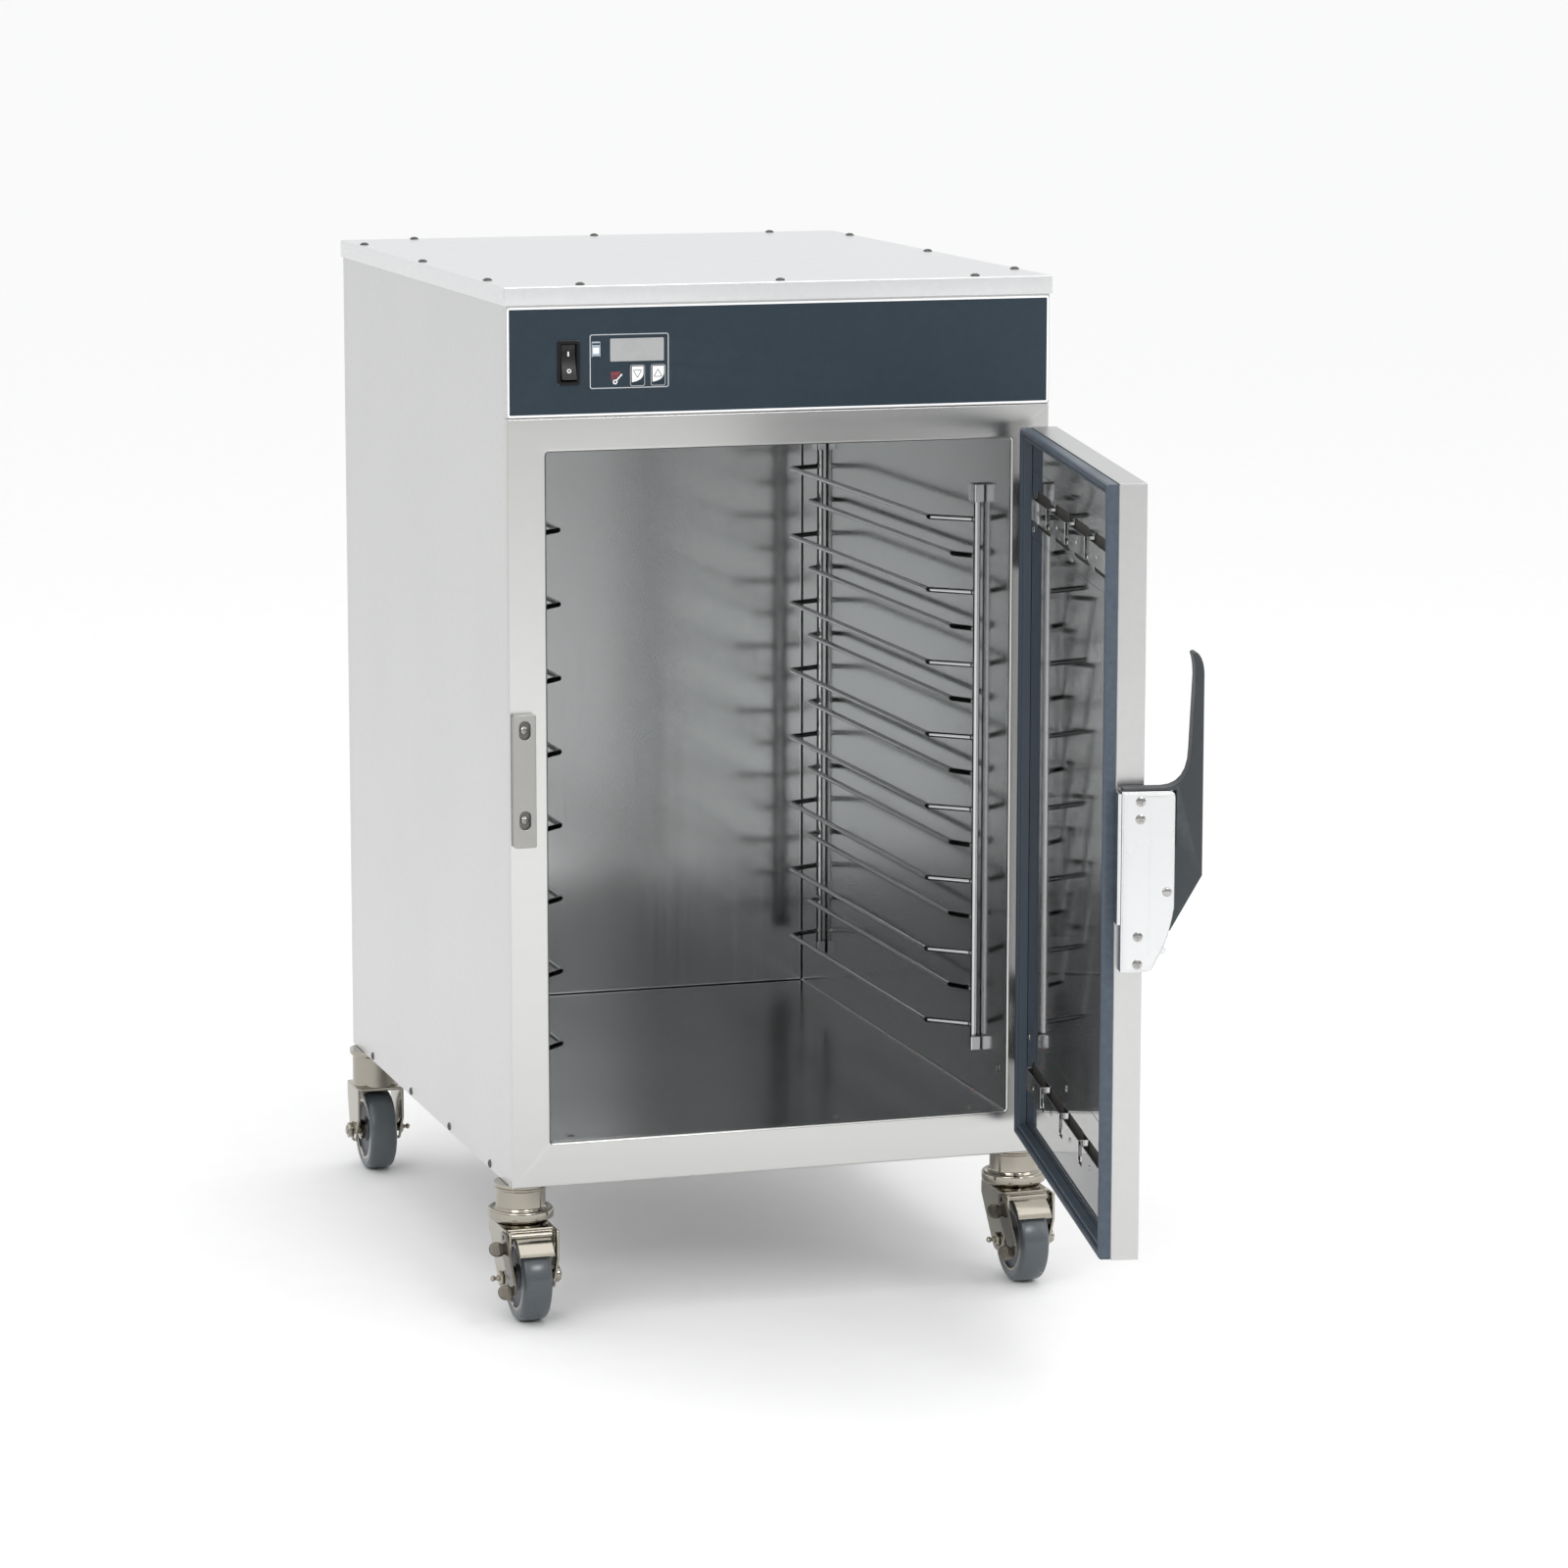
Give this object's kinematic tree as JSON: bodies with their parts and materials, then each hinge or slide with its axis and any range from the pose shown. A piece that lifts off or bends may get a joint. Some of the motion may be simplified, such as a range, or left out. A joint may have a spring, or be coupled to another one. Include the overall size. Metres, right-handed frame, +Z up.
{
  "type": "food holding cabinet",
  "caption": "Heated half-height cabinet on casters, with wire pan racks inside, a side-hinged insulated door with a lever latch, and a touch control strip over the opening.",
  "frame": {"origin": "middle of the whole part's footprint at floor level, taken with the door standing open", "axes": "+Z up, +Y from the door side towards the back panel, +X towards the hinge side"},
  "size_m": [0.6044, 1.291, 1.0299],
  "materials": {
    "brushed_stainless": "fine brushed grain, satin",
    "satin_stainless": "bright satin",
    "polished_stainless": "near mirror with a faint grain",
    "chrome": "bright nickel chrome plate",
    "panel_overlay": "dark slate film with a fine texture",
    "black_plastic": "moulded black, slightly satin",
    "display_face": "pale grey display film",
    "key_white": "white key film",
    "circuit_laminate": "green solder mask",
    "transformer_iron": "dark varnished steel",
    "cable_jacket": "red-brown jacket",
    "mineral_wool": "compressed yellow wool",
    "gasket_vinyl": "blue-grey ribbed vinyl",
    "lever_grey": "charcoal moulded, fine texture",
    "wheel_polyurethane": "blue-grey polyurethane"
  },
  "bodies": {
    "cabinet": {"side_panel_left": "brushed_stainless", "side_panel_right": "brushed_stainless", "back_panel": "brushed_stainless", "base_pan": "brushed_stainless", "top_cover": "satin_stainless", "front_frame": "satin_stainless", "strike_plate": "satin_stainless", "liner": "polished_stainless", "insulation": "mineral_wool", "heating_cable": "cable_jacket", "temperature_sensor": "chrome", "rack_clip_left_front_top": "chrome", "rack_clip_left_front_bottom": "chrome", "rack_clip_left_back_top": "chrome", "rack_clip_left_back_bottom": "chrome", "rack_clip_right_front_top": "chrome", "rack_clip_right_front_bottom": "chrome", "rack_clip_right_back_top": "chrome", "rack_clip_right_back_bottom": "chrome", "hinge_upper_frame_leaf": "chrome", "hinge_lower_frame_leaf": "chrome", "caster_front_left_mount": "chrome", "caster_front_right_mount": "chrome", "caster_rear_left_fork": "chrome", "caster_rear_left_axle": "chrome", "caster_rear_right_fork": "chrome", "caster_rear_right_axle": "chrome", "control_panel": "panel_overlay", "switch_bezel": "black_plastic", "cord_gland": "black_plastic", "display_window": "display_face", "indicator_lamp": "display_face", "circuit_board": "circuit_laminate", "transformer": "transformer_iron"},
    "door": {"door_outer_shell": "brushed_stainless", "door_inner_panel": "polished_stainless", "door_vent_top": "polished_stainless", "door_vent_bottom": "polished_stainless", "door_insulation": "mineral_wool", "latch_housing": "chrome", "hinge_upper_door_leaf": "chrome", "hinge_lower_door_leaf": "chrome", "magnet_bar": "transformer_iron", "door_gasket": "gasket_vinyl"},
    "handle": {"handle_lever": "lever_grey"},
    "power_rocker": {"switch_rocker": "black_plastic"},
    "down_key": {"key_down": "key_white"},
    "up_key": {"key_up": "key_white"},
    "left_rack": {"rack_left": "chrome"},
    "right_rack": {"rack_right": "chrome"},
    "front_left_swivel": {"caster_front_left_fork": "chrome", "caster_front_left_axle": "chrome"},
    "front_left_wheel": {"caster_front_left_wheel": "wheel_polyurethane"},
    "front_left_brake": {"caster_front_left_brake": "chrome"},
    "rear_left_wheel": {"caster_rear_left_wheel": "wheel_polyurethane"},
    "front_right_swivel": {"caster_front_right_fork": "chrome", "caster_front_right_axle": "chrome"},
    "front_right_wheel": {"caster_front_right_wheel": "wheel_polyurethane"},
    "front_right_brake": {"caster_front_right_brake": "chrome"},
    "rear_right_wheel": {"caster_rear_right_wheel": "wheel_polyurethane"}
  },
  "joints": [
    {"name": "door_hinge", "type": "hinge", "parent": "cabinet", "child": "door", "pos_m": [0.26755, -0.10518, 0.522], "axis": [0, 0, 1], "range_deg": [-79, 100]},
    {"name": "handle_pull", "type": "hinge", "parent": "door", "child": "handle", "pos_m": [0.19408, -0.6299, 0.512], "axis": [0.1908, 0.9816, 0], "range_deg": [0, 12], "stiffness_Nm_per_rad": 2, "springref_deg": -20.05},
    {"name": "power_switch", "type": "hinge", "parent": "cabinet", "child": "power_rocker", "pos_m": [-0.21355, -0.07598, 0.9529], "axis": [1, 0, 0], "range_deg": [0, 20]},
    {"name": "down_key_press", "type": "slide", "parent": "cabinet", "child": "down_key", "axis": [0, 1, 0], "range_m": [0, 0.0006], "stiffness_N_per_m": 300, "springref_m": -0.001},
    {"name": "up_key_press", "type": "slide", "parent": "cabinet", "child": "up_key", "axis": [0, 1, 0], "range_m": [0, 0.0006], "stiffness_N_per_m": 300, "springref_m": -0.001},
    {"name": "left_rack_lift", "type": "slide", "parent": "cabinet", "child": "left_rack", "axis": [0, 0, 1], "range_m": [0, 0.012]},
    {"name": "right_rack_lift", "type": "slide", "parent": "cabinet", "child": "right_rack", "axis": [0, 0, 1], "range_m": [0, 0.012]},
    {"name": "front_left_caster_swivel", "type": "hinge", "parent": "cabinet", "child": "front_left_swivel", "pos_m": [-0.25825, -0.04148, 0.096], "axis": [0, 0, 1], "continuous": true},
    {"name": "front_left_wheel_spin", "type": "hinge", "parent": "front_left_swivel", "child": "front_left_wheel", "pos_m": [-0.25825, -0.06848, 0.0445], "axis": [1, 0, 0], "continuous": true},
    {"name": "front_left_brake_pedal", "type": "hinge", "parent": "front_left_swivel", "child": "front_left_brake", "pos_m": [-0.25825, -0.08698, 0.0904], "axis": [1, 0, 0], "range_deg": [0, 6]},
    {"name": "rear_left_wheel_spin", "type": "hinge", "parent": "cabinet", "child": "rear_left_wheel", "pos_m": [-0.25825, 0.59852, 0.0445], "axis": [1, 0, 0], "continuous": true},
    {"name": "front_right_caster_swivel", "type": "hinge", "parent": "cabinet", "child": "front_right_swivel", "pos_m": [0.26375, -0.04148, 0.096], "axis": [0, 0, 1], "continuous": true},
    {"name": "front_right_wheel_spin", "type": "hinge", "parent": "front_right_swivel", "child": "front_right_wheel", "pos_m": [0.26375, -0.06848, 0.0445], "axis": [1, 0, 0], "continuous": true},
    {"name": "front_right_brake_pedal", "type": "hinge", "parent": "front_right_swivel", "child": "front_right_brake", "pos_m": [0.26375, -0.08698, 0.0904], "axis": [1, 0, 0], "range_deg": [0, 6]},
    {"name": "rear_right_wheel_spin", "type": "hinge", "parent": "cabinet", "child": "rear_right_wheel", "pos_m": [0.26375, 0.59852, 0.0445], "axis": [1, 0, 0], "continuous": true}
  ]
}
